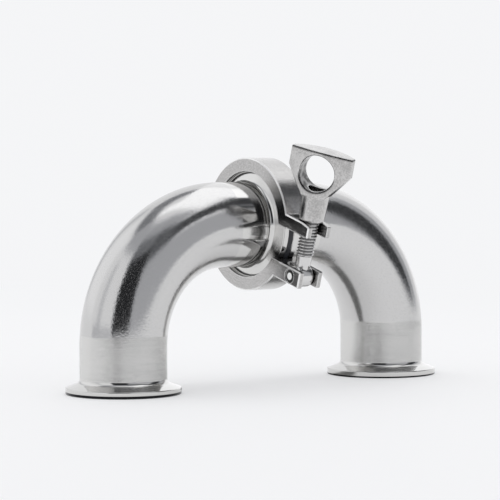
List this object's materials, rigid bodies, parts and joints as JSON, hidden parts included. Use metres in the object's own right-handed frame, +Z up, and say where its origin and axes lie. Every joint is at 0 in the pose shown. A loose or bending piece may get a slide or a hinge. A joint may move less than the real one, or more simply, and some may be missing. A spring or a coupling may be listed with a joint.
{
  "type": "sanitary elbow",
  "caption": "Clamp-ended sanitary elbow joined to its mate as an arch on flanged feet, with a rubber gasket and a hinged clamp closed by a swing bolt and wing nut.",
  "frame": {"origin": "centre of the left foot ferrule's face, on the surface the arch stands on", "axes": "+Z up along the left leg, +X towards the other foot, clamp lugs towards -Y"},
  "size_m": [0.1971, 0.0986, 0.1082],
  "materials": {
    "tube_steel": "satin polished stainless steel",
    "ferrule_steel": "fine turned and brushed stainless steel",
    "gasket_rubber": "smooth black rubber",
    "cast_steel": "investment cast stainless steel, blasted and tumbled",
    "pin_steel": "bright drawn stainless steel",
    "bolt_steel": "rolled thread, bright stainless steel",
    "nut_steel": "investment cast stainless steel, tumbled"
  },
  "bodies": {
    "base": {"left_bend": "tube_steel", "left_foot_ferrule": "ferrule_steel", "left_joint_ferrule": "ferrule_steel", "right_bend": "tube_steel", "right_foot_ferrule": "ferrule_steel", "right_joint_ferrule": "ferrule_steel", "gasket": "gasket_rubber", "upper_clamp_half": "cast_steel", "lower_clamp_half": "cast_steel", "hinge_pin": "pin_steel", "bolt_pin": "pin_steel"},
    "swing_bolt": {"swing_bolt": "bolt_steel"},
    "wing_nut": {"wing_nut": "nut_steel"}
  },
  "joints": [
    {"name": "bolt_swing", "type": "hinge", "parent": "base", "child": "swing_bolt", "pos_m": [0.0733, -0.03153, 0.04994], "axis": [1, 0, 0], "range_deg": [0, 100]},
    {"name": "wing_nut_turn", "type": "hinge", "parent": "swing_bolt", "child": "wing_nut", "pos_m": [0.0733, -0.03877, 0.07439], "axis": [0, -0.284, 0.9588], "continuous": true}
  ]
}
